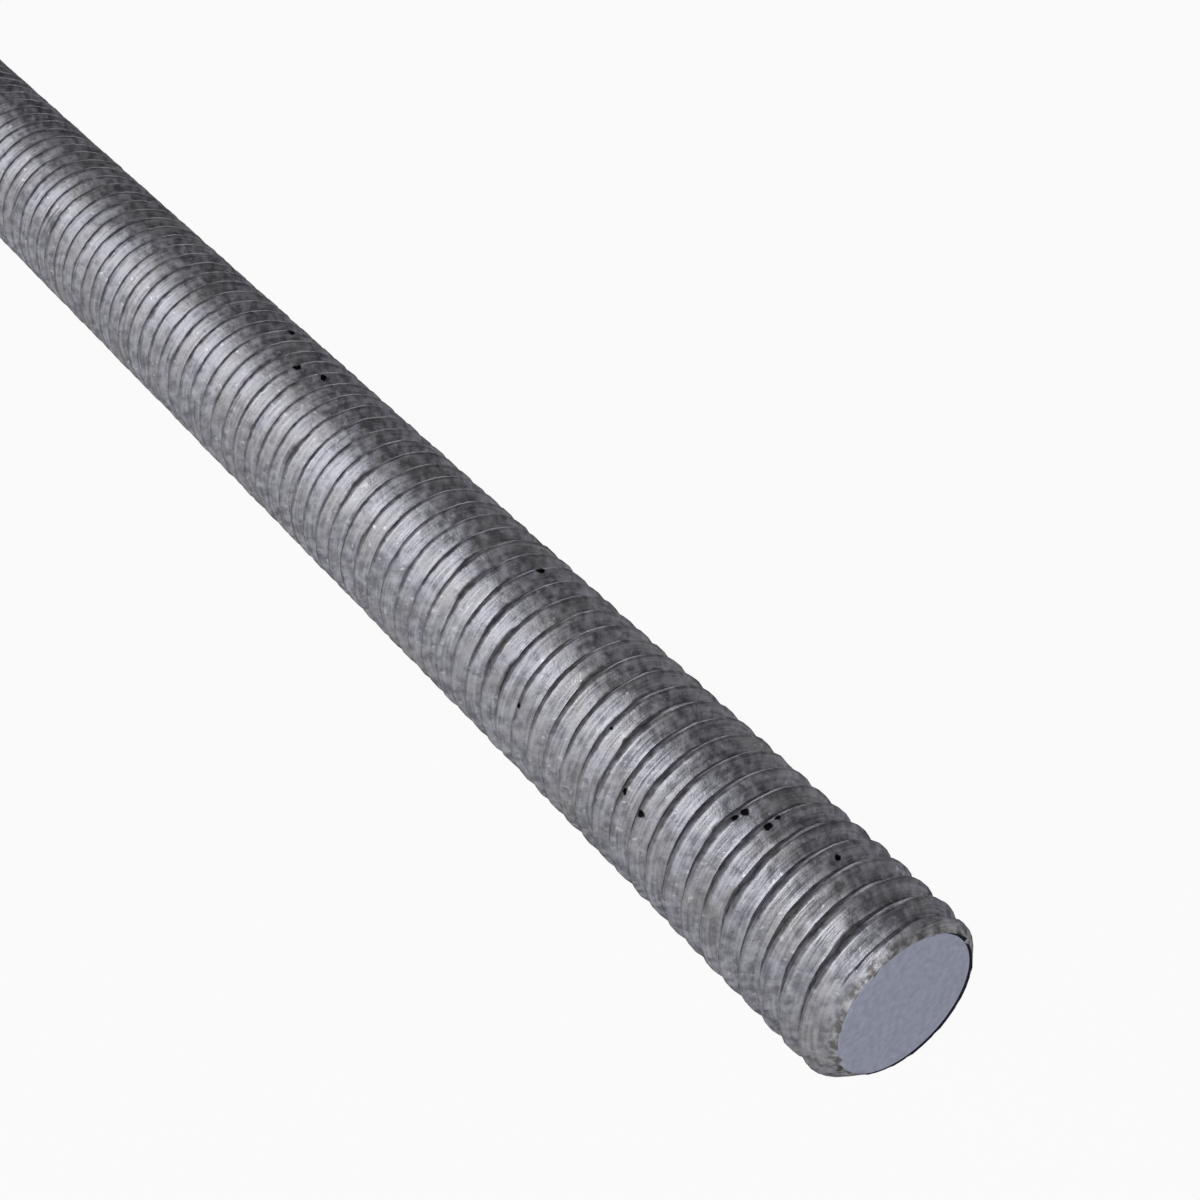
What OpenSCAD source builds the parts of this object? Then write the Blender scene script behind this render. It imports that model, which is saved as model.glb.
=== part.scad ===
// Threaded rod: one straight steel bar with a right-hand thread rolled along its whole length,
// dipped in zinc and sawn square at both ends. The bar lies along X, with the origin in its middle.

/* [Rod] */
// Length of the rod between its two sawn faces
rod_length = 250; // [60:5:290]

/* [Thread] */
// Diameter over the crests of the thread
major_diameter = 10; // [6:0.5:16]
// Distance that the thread advances in one turn
pitch = 1.5; // [1.3:0.05:2.5]
// Depth of the groove from crest to root
thread_depth = 0.8; // [0.5:0.05:1.2]
// Flats that one turn of the helix is drawn with
flats_per_turn = 16; // [8:4:16]
// Angle at which the groove runs out of the front face, from +Y towards +Z
groove_exit_angle = 297; // [0:1:359]

/* [Ends] */
// Width of the bevel filed round each sawn face
bevel_width = 0.6; // [0.2:0.1:1]
// Slope of the bevel from the rod's axis
bevel_angle = 45; // [30:5:60]
// Distance of a sawn face's middle from the rod's axis
face_offset = 0.3; // [0:0.05:0.4]
// Angle from where the groove runs out to the side that the face's middle lies on
face_side_angle = 63; // [0:1:359]

/* [Hidden] */

// The thread is drawn on past each face by this many turns, and then sawn off.
spare_turns = 2;
turns = ceil(rod_length / pitch) + 2 * spare_turns;
// Each cut reaches past the tip of the spare thread.
cut_height = (spare_turns + 4) * pitch;

crest_r = major_diameter / 2;
root_r = crest_r - thread_depth;

// A square cut through a single helix is a round, smaller than the crests by half the groove's depth.
face_r = crest_r - thread_depth / 2 - bevel_width;

// Position along the rod of a point of the helix. Even rows are the root, odd rows are the crest,
// and each row starts half a pitch after the one before it.
function helix_x(row, column) =
    rod_length / 2
    + pitch * (row / 2 + column / flats_per_turn + spare_turns - turns - groove_exit_angle / 360);

function helix_point(row, column) =
    let (
        angle = 360 * column / flats_per_turn,
        r = row % 2 == 0 ? root_r : crest_r
    )
    [helix_x(row, column), r * cos(angle), r * sin(angle)];

// Number of a point in the list. A column past the last one is the first column of the next turn.
function point_at(row, column) =
    column < flats_per_turn
        ? row * flats_per_turn + column
        : (row + 2) * flats_per_turn + column - flats_per_turn;

// Edge loop of the open end that starts at a row: once round, then down the step to where it began.
function end_loop(row) = concat(
    [for (column = [0 : flats_per_turn - 1]) point_at(row, column)],
    [point_at(row + 2, 0), point_at(row + 1, 0)]
);

// Triangles from a loop to one point on the axis
function fan(loop, tip) = [
    for (i = [0 : len(loop) - 1])
        [tip, loop[i], loop[(i + 1) % len(loop)]]
];

function backwards(list) = [for (i = [len(list) - 1 : -1 : 0]) list[i]];

// Bar with a V thread, longer than the rod at both ends
module thread_bar() {
    last_row = 2 * turns;
    helix = [
        for (row = [0 : last_row + 2], column = [0 : flats_per_turn - 1])
            helix_point(row, column)
    ];
    low_tip = [helix_x(0, 0) - pitch, 0, 0];
    high_tip = [helix_x(last_row + 2, flats_per_turn) + pitch, 0, 0];
    flanks = [
        for (row = [0 : last_row - 1], column = [0 : flats_per_turn - 1])
            let (
                a = point_at(row, column),
                b = point_at(row, column + 1),
                c = point_at(row + 1, column + 1),
                d = point_at(row + 1, column)
            )
            each [[a, c, b], [a, d, c]]
    ];
    low_end = fan(end_loop(0), len(helix));
    high_end = fan(backwards(end_loop(last_row)), len(helix) + 1);
    polyhedron(
        points = concat(helix, [low_tip, high_tip]),
        faces = concat(flanks, low_end, high_end),
        convexity = 10
    );
}

// What the saw and the file take off at one end: all that lies above Z = 0, and the bevel round it.
// The groove runs out at the given angle, from +X towards +Y. The turn is 1 where the rod's angles grow
// that way too, and -1 where they grow the other way.
module end_cut(groove_angle, turn) {
    bevel_reach = bevel_width + 2 * thread_depth;
    bevel_drop = bevel_reach / tan(bevel_angle);
    side = groove_angle + turn * face_side_angle;
    translate([face_offset * cos(side), face_offset * sin(side), 0])
        rotate_extrude($fn = 96)
            polygon([
                [0, 0],
                [face_r, 0],
                [face_r + bevel_reach, -bevel_drop],
                [face_r + bevel_reach, cut_height],
                [0, cut_height]
            ]);
}

module rod() {
    // Turns of the groove between the two faces give the angle at which it runs out of the back face.
    back_exit_angle = groove_exit_angle - 360 * rod_length / pitch;
    color("#8b8f92")
        difference() {
            thread_bar();
            // Front face: Z turns onto +X, X onto +Y and Y onto +Z.
            translate([rod_length / 2, 0, 0])
                rotate([90, 0, 90])
                    end_cut(groove_exit_angle, 1);
            // Back face: Z turns onto -X, X onto +Y and Y onto -Z.
            translate([-rod_length / 2, 0, 0])
                rotate([-90, 0, 90])
                    end_cut(-back_exit_angle, -1);
        }
}

rod();
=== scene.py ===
"""Looks of a zinc-dipped threaded rod: its rolled thread, sawn ends, finish, light and camera."""

import math

import bpy
import numpy as np
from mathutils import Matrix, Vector


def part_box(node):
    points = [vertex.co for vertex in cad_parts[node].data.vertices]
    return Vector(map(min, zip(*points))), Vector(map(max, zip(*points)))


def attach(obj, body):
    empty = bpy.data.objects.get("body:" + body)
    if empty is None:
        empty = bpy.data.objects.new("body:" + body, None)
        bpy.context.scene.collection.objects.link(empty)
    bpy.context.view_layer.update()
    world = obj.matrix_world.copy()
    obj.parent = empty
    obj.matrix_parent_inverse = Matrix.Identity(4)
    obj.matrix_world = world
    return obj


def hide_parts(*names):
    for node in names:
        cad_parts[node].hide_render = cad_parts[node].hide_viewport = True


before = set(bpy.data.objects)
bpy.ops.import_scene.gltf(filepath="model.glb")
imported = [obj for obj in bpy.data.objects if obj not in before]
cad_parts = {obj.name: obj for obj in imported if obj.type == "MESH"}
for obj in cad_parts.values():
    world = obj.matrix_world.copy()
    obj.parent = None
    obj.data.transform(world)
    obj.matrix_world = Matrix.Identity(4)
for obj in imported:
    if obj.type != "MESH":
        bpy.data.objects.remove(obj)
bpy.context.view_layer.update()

# Lengths are in millimetres and angles in degrees, unless a name or a comment says otherwise.
MM = 0.001

# The rod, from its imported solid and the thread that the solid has
LOW, HIGH = (np.array(corner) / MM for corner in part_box("rod"))
FRONT_X = float(HIGH[0])
BACK_X = float(LOW[0])
CREST_R = float(HIGH[2])
PITCH = 1.5
THREAD_DEPTH = 0.8
GROOVE_EXIT_ANGLE = 297.0
EXIT_TURN = GROOVE_EXIT_ANGLE / 360
# The zinc has filled the roots and rounded the crests. Flats are shares of a pitch.
COATED_DEPTH = 0.75
CREST_FLAT = 0.12
ROOT_FLAT = 0.06
CORNER_BLEND = 0.3

# Sawn ends, each with the way out along X: a bevel round a face that lies a little off the axis
ENDS = ((FRONT_X, 1), (BACK_X, -1))
BEVEL_WIDTH = 0.6
FACE_OFFSET = 0.3
FACE_SIDE_ANGLE = 63.0
FACE_R = CREST_R - THREAD_DEPTH / 2 - BEVEL_WIDTH
BEVEL_ROUNDING = 0.06
SHARP_EDGE_ANGLE = 50.0

# Grid of the helix: places of the rows in one pitch, from root to root, columns round one turn,
# turns that cover each face, and turns to spare past them
ROW_SHARES = np.array([0.0, 0.06, 0.11, 0.2, 0.33, 0.39, 0.44, 0.56, 0.61, 0.67, 0.8, 0.89, 0.94])
ROWS = len(ROW_SHARES)
COLUMNS = 44
FACE_TURNS = 2
SPARE_TURNS = 2

# Zinc coat, drawn in a little so that its lumps stay inside the crests' diameter
SEED = 12
LUMP_HEIGHT = 0.022
GROOVE_FILL = 0.12
CHIP_DEPTH = 0.10
COAT_INSET = 0.02

# Marks in the coat: patches, grain, and streaks along the thread, all in low relief
PATCH_SIZE = 0.55
GRAIN_SIZE = 0.11
RELIEF_HEIGHT = 0.05
STREAK_LENGTH = 5.0
STREAK_WIDTH = 0.11

# Painted shade, a dark line behind each crest where the groove is shaded: its distance from the root behind
# it, and the length over which its width varies
SHADE_LINE_PLACE = 0.58
SHADE_LINE_VARIES_OVER = 0.9

# Pits down to the dark steel: distance from the front face, angle about the axis, radius
PITS = [
    (10.51, 110.9, 0.26), (10.43, 104.4, 0.24), (8.97, 101.7, 0.26), (9.14, 93.9, 0.20),
    (5.71, 83.0, 0.22), (14.83, 146.4, 0.24), (31.66, 76.2, 0.34), (19.45, 121.9, 0.15),
    (16.40, 143.2, 0.22), (25.33, 152.2, 0.20), (57.07, 88.8, 0.34), (55.39, 77.7, 0.28),
    (61.65, 64.7, 0.34),
]
PIT_RAGGEDNESS = 0.3

# Spots of dirt on the bevels, and clouds on the sawn faces
DIRT_SIZE = 0.5
CLOUD_SIZE = 0.35

# Painted shade along the front face's edge, where it turns from the light: its width, and the side that it
# is widest on
EDGE_SHADE_WIDTH = 0.28
EDGE_SHADE_SIDE_ANGLE = -35.0

# Camera, worked out from the photograph's view of the rod
CAMERA_FROM_FRONT = np.array([48.205, -49.817, 76.526])
CAMERA_AZIMUTH = 55.494
CAMERA_ELEVATION = 37.936
FOCAL_PIXELS = 2207.0
IMAGE_PIXELS = 1200.0
SENSOR_MM = 36.0

# Lamps, in metres and watts: the point they face, the side they stand on, distance, width and power
LAMPS = {
    "key": ((0.15, 0.0, 0.0), (0.46, -0.42, 0.78), 0.4, 0.17, 1.45),
    "fill": ((0.15, 0.0, 0.0), (0.5, -0.82, 0.28), 0.4, 0.4, 0.6),
    "back": ((0.0, 0.0, 0.0), (-0.84, 0.5, 0.17), 1.2, 0.35, 5.0),
}
SKY_STRENGTH = 0.04

# Paper under and behind the rod: rings in metres, the first of them round the flat part, and how steeply
# it rises
PAPER_RADII_M = np.array([3.0, 4.0, 5.0, 6.5, 8.0, 10.0, 12.0])
PAPER_RISE = 0.02
PAPER_SEGMENTS = 48
PAPER_WHITE_SHARE = 0.95

# Kinds of node that the finish is made of
NOISE = "ShaderNodeTexNoise"
MATH = "ShaderNodeMath"
VECTOR_MATH = "ShaderNodeVectorMath"
RAMP = "ShaderNodeMapRange"
MIX = "ShaderNodeMix"


def linear(hex_colour):
    """sRGB hex to linear RGBA, by the sRGB curve."""
    srgb = [int(hex_colour[i:i + 2], 16) / 255 for i in (1, 3, 5)]
    rgb = [c / 12.92 if c <= 0.04045 else ((c + 0.055) / 1.055) ** 2.4 for c in srgb]
    return (*rgb, 1.0)


def add(tree, kind, inputs=None, output=None, **settings):
    """Adds a node, sets its properties, fills its inputs with values or links, and gives the named
    output, or else the first one in use."""
    made = tree.nodes.new(kind)
    for name, value in settings.items():
        setattr(made, name, value)
    for name, value in (inputs or {}).items():
        socket = made.inputs[name]
        if isinstance(value, bpy.types.NodeSocket):
            tree.links.new(value, socket)
        else:
            socket.default_value = value
    return made.outputs[output] if output else next(s for s in made.outputs if s.enabled)


def wave_noise(x, angle, rng, waves, shortest_x, longest_x, most_round):
    """Smooth noise on the rod's skin, about -1 to 1: a sum of waves with random lengths along the rod,
    a whole number of periods round it and random phases, so that it closes on itself."""
    total = np.zeros_like(x)
    for _ in range(waves):
        length = np.exp(rng.uniform(np.log(shortest_x), np.log(longest_x)))
        rounds = rng.integers(-most_round, most_round + 1)
        phase = rng.uniform(0, 2 * np.pi)
        total += np.cos(2 * np.pi * x / length + rounds * angle + phase)
    return total / math.sqrt(waves)


def soft_min(a, b, blend):
    """Smaller of two lengths, rounded over where they are about equal."""
    return 0.5 * (a + b - np.sqrt((a - b) ** 2 + blend * blend))


def rounded_step(level):
    """Level stretched so that its flats are cut off at 0 and 1, with rounded corners."""
    rise = (level - ROOT_FLAT) / (1 - ROOT_FLAT - CREST_FLAT)
    return -soft_min(-soft_min(rise, 1.0, CORNER_BLEND), 0.0, CORNER_BLEND)


def thread_height(share):
    """Height of the coated thread's section, about 0 at the root and 1 at the crest, over one pitch from
    root to root: a triangle wave with its tips cut to rounded flats, over its own top."""
    wave = 1 - np.abs(2 * (share % 1.0) - 1)
    return rounded_step(wave) / rounded_step(1.0)


def face_side(end_x):
    """Angle, in radians, of the side that the middle of a sawn face lies on: a fixed angle on from where
    the groove runs out."""
    groove = 2 * np.pi * (EXIT_TURN - (FRONT_X - end_x) / PITCH)
    return groove + math.radians(FACE_SIDE_ANGLE)


def helix_grid():
    """Share of a pitch, angle about the axis and place along the rod for each point of a grid. Row i,
    column j lies at angle 2 pi j / COLUMNS and climbs one pitch a turn, so each row follows the thread,
    and the column after the last is the first one, ROWS rows on."""
    turns = math.ceil((FRONT_X - BACK_X) / PITCH)
    past_face = FACE_TURNS + SPARE_TURNS
    row = np.arange(-(turns + past_face) * ROWS, past_face * ROWS + 1)[:, None]
    column = np.arange(COLUMNS)[None, :]
    share = ROW_SHARES[row % ROWS] + 0 * column
    angle = 2 * np.pi * column / COLUMNS + 0 * row
    along = FRONT_X + PITCH * (row // ROWS + share + column / COLUMNS - EXIT_TURN)
    return share, angle, along


def coated_radius(share, angle, along):
    """Radius of the zinc's skin: the thread's section, raised where zinc has run into the grooves, with
    lumps all over and chips out of the crests."""
    rng = np.random.default_rng(SEED)
    height = thread_height(share)
    lumps = wave_noise(along, angle, rng, waves=40, shortest_x=0.8, longest_x=6.0, most_round=20)
    fill = wave_noise(along, angle, rng, waves=30, shortest_x=2.0, longest_x=20.0, most_round=6)
    fill = np.clip(fill - 0.2, 0, 1.5)
    chips = wave_noise(along, angle, rng, waves=40, shortest_x=0.8, longest_x=4.0, most_round=20)
    chips = np.clip(chips - 1.3, 0, 1)
    section = CREST_R - COATED_DEPTH * (1 - height) + GROOVE_FILL * fill * (1 - height)
    return section + LUMP_HEIGHT * lumps - CHIP_DEPTH * chips * height - COAT_INSET


def bevelled(r, angle, along):
    """Radius after the file: the smaller of the skin's and that of a cone, which opens at 45 degrees from
    the edge of each sawn face and so lies off the axis as the face does."""
    for end_x, outwards in ENDS:
        before = outwards * (end_x - along)
        cone = FACE_R + FACE_OFFSET * np.cos(angle - face_side(end_x)) + np.maximum(before, 0)
        r = np.where(before < 4 * BEVEL_WIDTH, soft_min(r, cone, BEVEL_ROUNDING), r)
    return r


def sawn_off(r, along):
    """Places along the rod and radii after the saw: rows past an end lie on its face, and run inwards
    from its edge to the axis, over FACE_TURNS turns of the helix."""
    x = along.copy()
    rows = np.arange(len(along))[:, None]
    columns = np.arange(COLUMNS)
    for end_x, outwards in ENDS:
        past = outwards * (along - end_x)
        edge = np.abs(past).argmin(axis=0)
        edge_r = r[edge, columns]
        edge_past = past[edge, columns]
        beyond = outwards * (rows - edge) >= 0
        inwards = np.clip((past - edge_past) / (FACE_TURNS * PITCH), 0, 1)
        r = np.where(beyond, edge_r * (1 - inwards), r)
        x = np.where(beyond, end_x, x)
    return x, r


def helix_cells(row_count):
    """Two triangles for each cell of the grid, and the place of their corners on the unrolled thread:
    length along the helix, and width across the pitch. The corner past the last column is on the next
    turn's first column."""
    i, j = np.meshgrid(np.arange(row_count - ROWS - 1), np.arange(COLUMNS), indexing="ij")

    def corner(rows, columns):
        return np.where(columns == COLUMNS, (rows + ROWS) * COLUMNS, rows * COLUMNS + columns)

    a, b, c, d = corner(i, j), corner(i, j + 1), corner(i + 1, j + 1), corner(i + 1, j)
    triangles = np.concatenate([np.stack([a, b, c], -1), np.stack([a, c, d], -1)]).reshape(-1, 3)

    turn_length = 2 * np.pi * CREST_R
    u0 = (i // ROWS + j / COLUMNS) * turn_length
    u1 = u0 + turn_length / COLUMNS
    edges = PITCH * np.append(ROW_SHARES, 1.0)
    v0 = edges[i % ROWS]
    v1 = edges[i % ROWS + 1]
    lower = np.stack([u0, v0, u1, v0, u1, v1], -1)
    upper = np.stack([u0, v0, u1, v1, u0, v1], -1)
    return triangles, np.concatenate([lower, upper]).reshape(-1, 3, 2)


def rod_mesh():
    """One closed skin: the helix grid at its radii about the axis. All the points on the axis become one
    at each end, and triangles without an area go."""
    share, angle, along = helix_grid()
    r = bevelled(coated_radius(share, angle, along), angle, along)
    x, r = sawn_off(r, along)
    points = np.stack([x, r * np.cos(angle), r * np.sin(angle)], axis=-1).reshape(-1, 3)
    triangles, uv = helix_cells(len(along))

    on_axis = r.reshape(-1) < 1e-9
    front = points[:, 0] > 0
    merged = np.arange(len(points))
    for half in (front, ~front):
        pole = np.flatnonzero(on_axis & half)
        merged[pole] = pole[0]
    triangles = merged[triangles]
    p, q, s = triangles.T
    whole = (p != q) & (q != s) & (p != s)
    used, triangles = np.unique(triangles[whole], return_inverse=True)
    return points[used], triangles.reshape(-1, 3), uv[whole]


def make_rod(material):
    """The rod's skin, in place of the plain solid."""
    points, triangles, uv = rod_mesh()
    mesh = bpy.data.meshes.new("rod_skin")
    mesh.from_pydata(points * MM, [], triangles)
    mesh.polygons.foreach_set("use_smooth", np.ones(len(triangles), bool))
    layer = mesh.uv_layers.new(name="thread")
    layer.data.foreach_set("uv", uv.astype(np.float32).ravel())
    mesh.set_sharp_from_angle(angle=math.radians(SHARP_EDGE_ANGLE))
    mesh.materials.append(material)
    mesh.validate()
    rod = bpy.data.objects.new("rod_skin", mesh)
    bpy.context.scene.collection.objects.link(rod)
    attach(rod, "root")
    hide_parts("rod")


def zinc_coat(tree, place, thread):
    """Colour, relief and roughness of the bare coat: patches, grain and streaks, then an olive cast, pale
    flakes and dark specks."""
    patches = add(tree, NOISE, {"Vector": place, "Scale": 1 / (PATCH_SIZE * MM), "Detail": 6.0})
    grain = add(tree, NOISE, {"Vector": place, "Scale": 1 / (GRAIN_SIZE * MM)})
    stretch = (1 / STREAK_LENGTH, 1 / STREAK_WIDTH, 1.0)
    stretched = add(tree, VECTOR_MATH, {0: thread, 1: stretch}, operation="MULTIPLY")
    streaks = add(tree, NOISE, {"Vector": stretched, "Scale": 1.0})

    # Share of each in the colour and in the relief
    mottle = 0.0
    relief = 0.0
    for marks, in_colour, in_relief in ((streaks, 0.3, 0.5), (grain, 0.1, 0.25), (patches, 0.6, 0.6)):
        mottle = add(tree, MATH, {0: marks, 1: in_colour, 2: mottle}, operation="MULTIPLY_ADD")
        relief = add(tree, MATH, {0: marks, 1: in_relief, 2: relief}, operation="MULTIPLY_ADD")
    tone = add(tree, RAMP, {"Value": mottle, "From Min": 0.40, "From Max": 0.60})
    dark, pale = linear("#6e6e76"), linear("#a5a5ad")
    zinc = add(tree, MIX, {"Factor": tone, "A": dark, "B": pale}, data_type="RGBA")

    # Olive cast, flakes and specks: size, where they start and end, share before and after, colour
    for size, start, end, before, after, colour in (
        (2.4, 0.45, 0.65, 0.0, 0.3, "#84827a"),
        (0.4, 0.64, 0.76, 0.0, 0.6, "#c8c8ce"),
        (0.6, 0.25, 0.36, 0.45, 0.0, "#45454d"),
    ):
        spots = add(tree, NOISE, {"Vector": place, "Scale": 1 / (size * MM)})
        spots = add(tree, RAMP, {
            "Value": spots, "From Min": start, "From Max": end, "To Min": before, "To Max": after,
        })
        zinc = add(tree, MIX, {"Factor": spots, "A": zinc, "B": linear(colour)}, data_type="RGBA")

    rough = add(tree, RAMP, {
        "Value": patches, "From Min": 0.35, "From Max": 0.65, "To Min": 0.45, "To Max": 0.6,
    })
    return zinc, relief, rough


def painted_crest_shade(tree, place, thread, zinc):
    """Coat with painted shade: a dark line behind each crest, uneven in width, where the groove is shaded.
    """
    across = add(tree, "ShaderNodeSeparateXYZ", {"Vector": thread}, output="Y")
    from_line = add(tree, MATH, {0: across, 1: SHADE_LINE_PLACE}, operation="SUBTRACT")
    from_line = add(tree, MATH, {0: from_line}, operation="ABSOLUTE")
    uneven = add(tree, NOISE, {"Vector": place, "Scale": 1 / (SHADE_LINE_VARIES_OVER * MM), "Detail": 3.0})
    from_line = add(tree, MATH, {0: uneven, 1: -0.5, 2: from_line}, operation="MULTIPLY_ADD")
    line = add(tree, RAMP, {
        "Value": from_line, "From Min": -0.28, "From Max": -0.20, "To Min": 0.45, "To Max": 0.0,
    })
    # Painted shade: the dark line's colour is mixed into the coat behind each crest.
    return add(tree, MIX, {"Factor": line, "A": zinc, "B": linear("#2e2e35")}, data_type="RGBA")


def pits(tree, place, zinc):
    """Coat with ragged pits: round spots on the thread's surface, read through a warped place. The warp
    moves a spot by half the raggedness on average, so its centre moves on by as much."""
    ragged = add(tree, NOISE, {"Vector": place, "Scale": 1 / (PIT_RAGGEDNESS * MM)}, output="Color")
    reach = (PIT_RAGGEDNESS * MM,) * 3
    warped = add(tree, VECTOR_MATH, {0: ragged, 1: reach, 2: place}, operation="MULTIPLY_ADD")
    for distance, degrees, radius in PITS:
        angle = math.radians(degrees)
        share = EXIT_TURN - degrees / 360 - distance / PITCH
        r = CREST_R - COATED_DEPTH * (1 - thread_height(share))
        centre = np.array([FRONT_X - distance, r * math.cos(angle), r * math.sin(angle)])
        centre = (centre + PIT_RAGGEDNESS / 2) * MM
        away = add(tree, VECTOR_MATH, {0: warped, 1: centre}, operation="DISTANCE", output="Value")
        pit = add(tree, RAMP, {
            "Value": away, "From Min": 0.7 * radius * MM, "From Max": radius * MM,
            "To Min": 1.0, "To Max": 0.0,
        })
        zinc = add(tree, MIX, {"Factor": pit, "A": zinc, "B": linear("#121113")}, data_type="RGBA")
    return zinc


def bevel_dirt(tree, place, inside, zinc):
    """Coat with dirt and bare chips on the bevels. Inside is the distance in from the nearer end."""
    bevel = add(tree, RAMP, {
        "Value": inside, "From Min": 0.25, "From Max": 0.45, "To Min": 0.75, "To Max": 0.0,
    })
    dirt = add(tree, NOISE, {"Vector": place, "Scale": 1 / (DIRT_SIZE * MM), "Detail": 3.0})
    dirt = add(tree, RAMP, {"Value": dirt, "From Min": 0.42, "From Max": 0.62})
    brown, bare = linear("#57544f"), linear("#b0b1b5")
    dirt = add(tree, MIX, {"Factor": dirt, "A": brown, "B": bare}, data_type="RGBA")
    return add(tree, MIX, {"Factor": bevel, "A": zinc, "B": dirt}, data_type="RGBA")


def sawn_steel(tree, place):
    """Colour of a sawn face: smooth, faintly cloudy steel, with painted shade, a dark rim where the front
    face reaches past a circle of its own size, set away from the shaded side."""
    cloud = add(tree, NOISE, {"Vector": place, "Scale": 1 / (CLOUD_SIZE * MM), "Detail": 3.0})
    cloud = add(tree, RAMP, {"Value": cloud, "From Min": 0.35, "From Max": 0.65})
    dark, pale = linear("#9699a9"), linear("#a2a5b4")
    sawn = add(tree, MIX, {"Factor": cloud, "A": dark, "B": pale}, data_type="RGBA")
    side = face_side(FRONT_X)
    shade_side = math.radians(EDGE_SHADE_SIDE_ANGLE)
    middle_y = FACE_OFFSET * math.cos(side) - EDGE_SHADE_WIDTH * math.cos(shade_side)
    middle_z = FACE_OFFSET * math.sin(side) - EDGE_SHADE_WIDTH * math.sin(shade_side)
    middle = (FRONT_X * MM, middle_y * MM, middle_z * MM)
    away = add(tree, VECTOR_MATH, {0: place, 1: middle}, operation="DISTANCE", output="Value")
    # Compare gives 1 within a millimetre of its middle value, so the painted shade lies from the circle's
    # edge outwards.
    edge_shade = add(tree, MATH, {0: away, 1: (FACE_R + 1) * MM, 2: 1 * MM}, operation="COMPARE")
    # Painted shade: the dark rim's colour is mixed in at the front face's edge.
    return add(tree, MIX, {"Factor": edge_shade, "A": sawn, "B": linear("#2b2b36")}, data_type="RGBA")


def galvanised_steel():
    """Hot-dip zinc on steel: a dull, faintly blue grey metal, mottled in patches of half a millimetre,
    streaked along the thread, with painted shade as a dark line behind its crests, pitted black, dirty on
    the bevels and smooth on the sawn faces, with painted shade along one side of the front face's edge."""
    material = bpy.data.materials.new("galvanised_steel")
    material.use_nodes = True
    tree = material.node_tree
    shader = tree.nodes["Principled BSDF"]
    place = add(tree, "ShaderNodeTexCoord", output="Object")
    thread = add(tree, "ShaderNodeUVMap", uv_map="thread")
    along = add(tree, "ShaderNodeSeparateXYZ", {"Vector": place}, output="X")
    inside = add(tree, MATH, {0: along}, operation="ABSOLUTE")
    inside = add(tree, MATH, {0: inside, 1: -1 / MM, 2: FRONT_X}, operation="MULTIPLY_ADD")

    zinc, relief, rough = zinc_coat(tree, place, thread)
    # Painted shade behind the crests.
    zinc = painted_crest_shade(tree, place, thread, zinc)
    zinc = pits(tree, place, zinc)
    zinc = bevel_dirt(tree, place, inside, zinc)
    face = add(tree, RAMP, {
        "Value": inside, "From Min": 0.01, "From Max": 0.03, "To Min": 1.0, "To Max": 0.0,
    })
    sawn = sawn_steel(tree, place)
    colour = add(tree, MIX, {"Factor": face, "A": zinc, "B": sawn}, data_type="RGBA")
    tree.links.new(colour, shader.inputs["Base Color"])
    shader.inputs["Metallic"].default_value = 0.85
    shader.inputs["Specular Tint"].default_value = (0.1, 0.1, 0.1, 1.0)
    tree.links.new(rough, shader.inputs["Roughness"])

    # The relief stops at the sawn faces.
    coated = add(tree, MATH, {0: 1.0, 1: face}, operation="SUBTRACT")
    relief = add(tree, MATH, {0: relief, 1: coated}, operation="MULTIPLY")
    bump = add(tree, "ShaderNodeBump", {"Height": relief, "Strength": 1.0, "Distance": RELIEF_HEIGHT * MM})
    tree.links.new(bump, shader.inputs["Normal"])
    return material


def white_paper():
    """Matt pale paper. Camera, glossy and transmission rays see it near to white, with the rod's shadow."""
    material = bpy.data.materials.new("white_paper")
    material.use_nodes = True
    tree = material.node_tree
    shader = tree.nodes["Principled BSDF"]
    shader.inputs["Base Color"].default_value = linear("#808080")
    shader.inputs["Roughness"].default_value = 0.9
    white = add(tree, "ShaderNodeEmission", {"Color": (1.0, 1.0, 1.0, 1.0), "Strength": 1.0})
    seen = add(tree, "ShaderNodeLightPath", output="Is Camera Ray")
    for ray in ("Is Glossy Ray", "Is Transmission Ray"):
        other = add(tree, "ShaderNodeLightPath", output=ray)
        seen = add(tree, MATH, {0: seen, 1: other}, operation="MAXIMUM")
    share = add(tree, MATH, {0: seen, 1: PAPER_WHITE_SHARE}, operation="MULTIPLY")
    both = add(tree, "ShaderNodeMixShader", {0: share, 1: shader.outputs[0], 2: white})
    tree.links.new(both, tree.nodes["Material Output"].inputs["Surface"])
    return material


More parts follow.
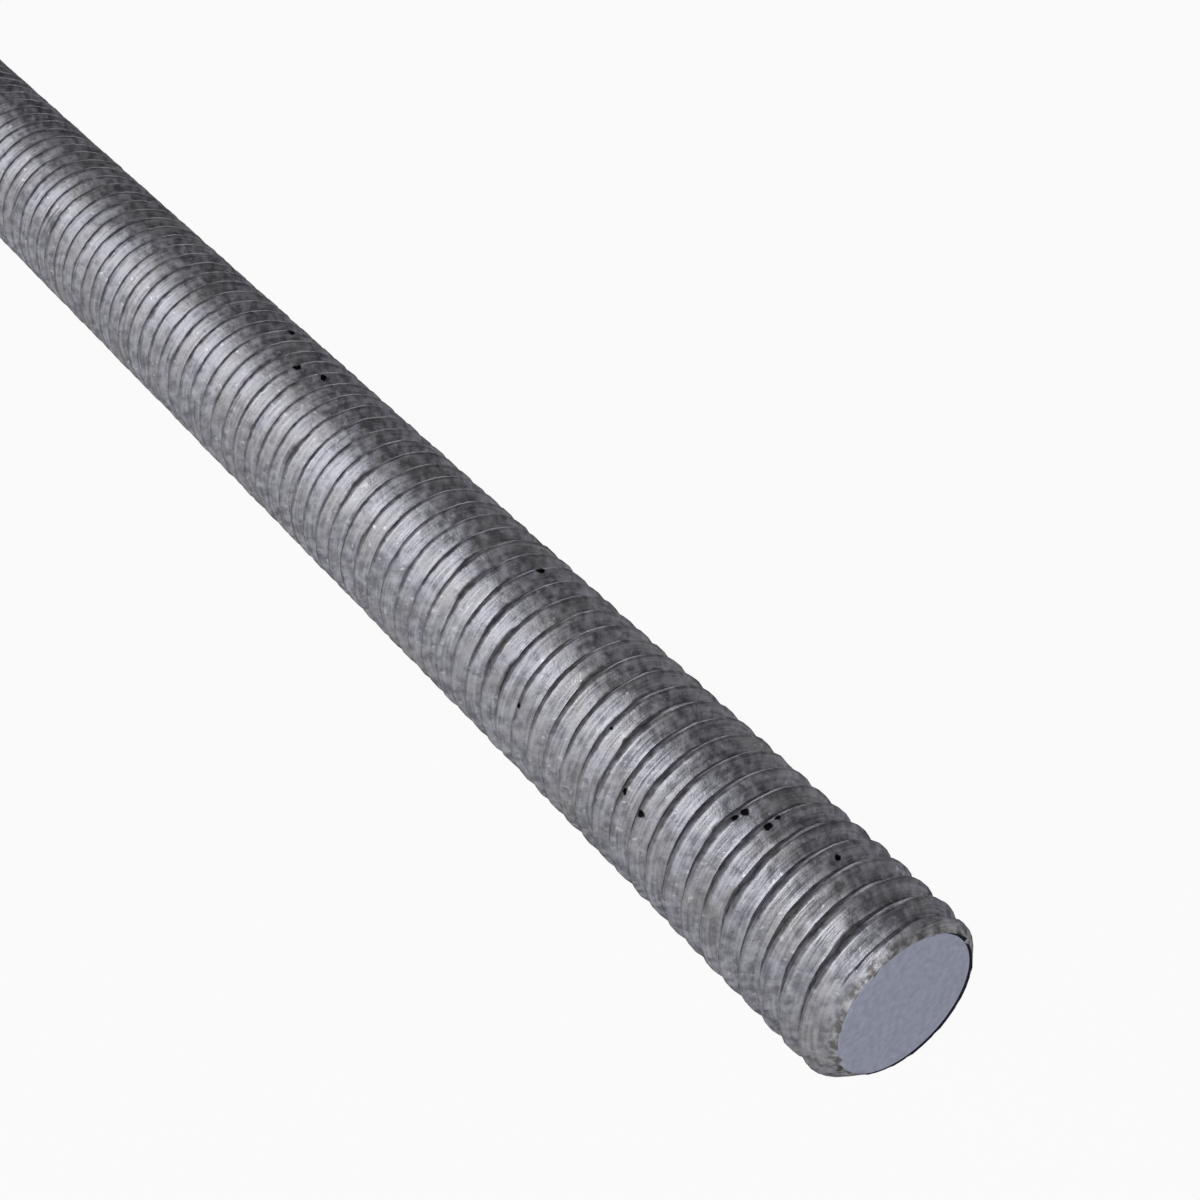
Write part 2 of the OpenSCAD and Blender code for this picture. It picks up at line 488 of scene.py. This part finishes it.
def make_floor():
    """Paper that is flat under the rod and rises with the square of the distance past its first ring, so
    that it is the backdrop too."""
    angle = 2 * np.pi * np.arange(PAPER_SEGMENTS) / PAPER_SEGMENTS
    radius = PAPER_RADII_M[:, None]
    height = LOW[2] * MM + PAPER_RISE * (radius - PAPER_RADII_M[0]) ** 2 + 0 * angle
    points = np.stack([radius * np.cos(angle), radius * np.sin(angle), height], axis=-1).reshape(-1, 3)
    rings = np.arange(len(radius) - 1) * PAPER_SEGMENTS
    ring, step = np.meshgrid(rings, np.arange(PAPER_SEGMENTS), indexing="ij")
    here = ring + step
    beside = ring + (step + 1) % PAPER_SEGMENTS
    quads = np.stack([here, here + PAPER_SEGMENTS, beside + PAPER_SEGMENTS, beside], -1).reshape(-1, 4)
    mesh = bpy.data.meshes.new("floor")
    mesh.from_pydata(points, [], [list(range(PAPER_SEGMENTS))] + quads.tolist())
    mesh.materials.append(white_paper())
    floor = bpy.data.objects.new("floor", mesh)
    bpy.context.scene.collection.objects.link(floor)


def make_light(name, target, direction, distance, width, power):
    """Round soft lamp that stands in the given direction from its target and faces it."""
    data = bpy.data.lights.new(name, "AREA")
    data.shape = "DISK"
    data.size = width
    data.energy = power
    light = bpy.data.objects.new(name, data)
    towards = Vector(direction).normalized()
    light.location = Vector(target) + distance * towards
    light.rotation_euler = towards.to_track_quat("Z", "Y").to_euler()
    bpy.context.scene.collection.objects.link(light)


def make_sky():
    """Dim, even light from all round."""
    world = bpy.data.worlds.new("studio")
    bpy.context.scene.world = world
    world.use_nodes = True
    background = world.node_tree.nodes["Background"]
    background.inputs["Color"].default_value = (1.0, 1.0, 1.0, 1.0)
    background.inputs["Strength"].default_value = SKY_STRENGTH


def make_camera():
    """Camera at its place from the middle of the front face."""
    data = bpy.data.cameras.new("camera")
    data.sensor_width = SENSOR_MM
    data.lens = SENSOR_MM * FOCAL_PIXELS / IMAGE_PIXELS
    data.clip_start = 0.005
    data.clip_end = 20.0
    camera = bpy.data.objects.new("camera", data)
    camera.location = Vector((np.array([FRONT_X, 0, 0]) + CAMERA_FROM_FRONT) * MM)
    camera.rotation_euler = (math.radians(90 - CAMERA_ELEVATION), 0, math.radians(CAMERA_AZIMUTH))
    bpy.context.scene.collection.objects.link(camera)
    bpy.context.scene.camera = camera


make_rod(galvanised_steel())
make_floor()
make_camera()
for lamp_name, lamp in LAMPS.items():
    make_light(lamp_name, *lamp)
make_sky()
bpy.context.scene.view_settings.view_transform = "Standard"
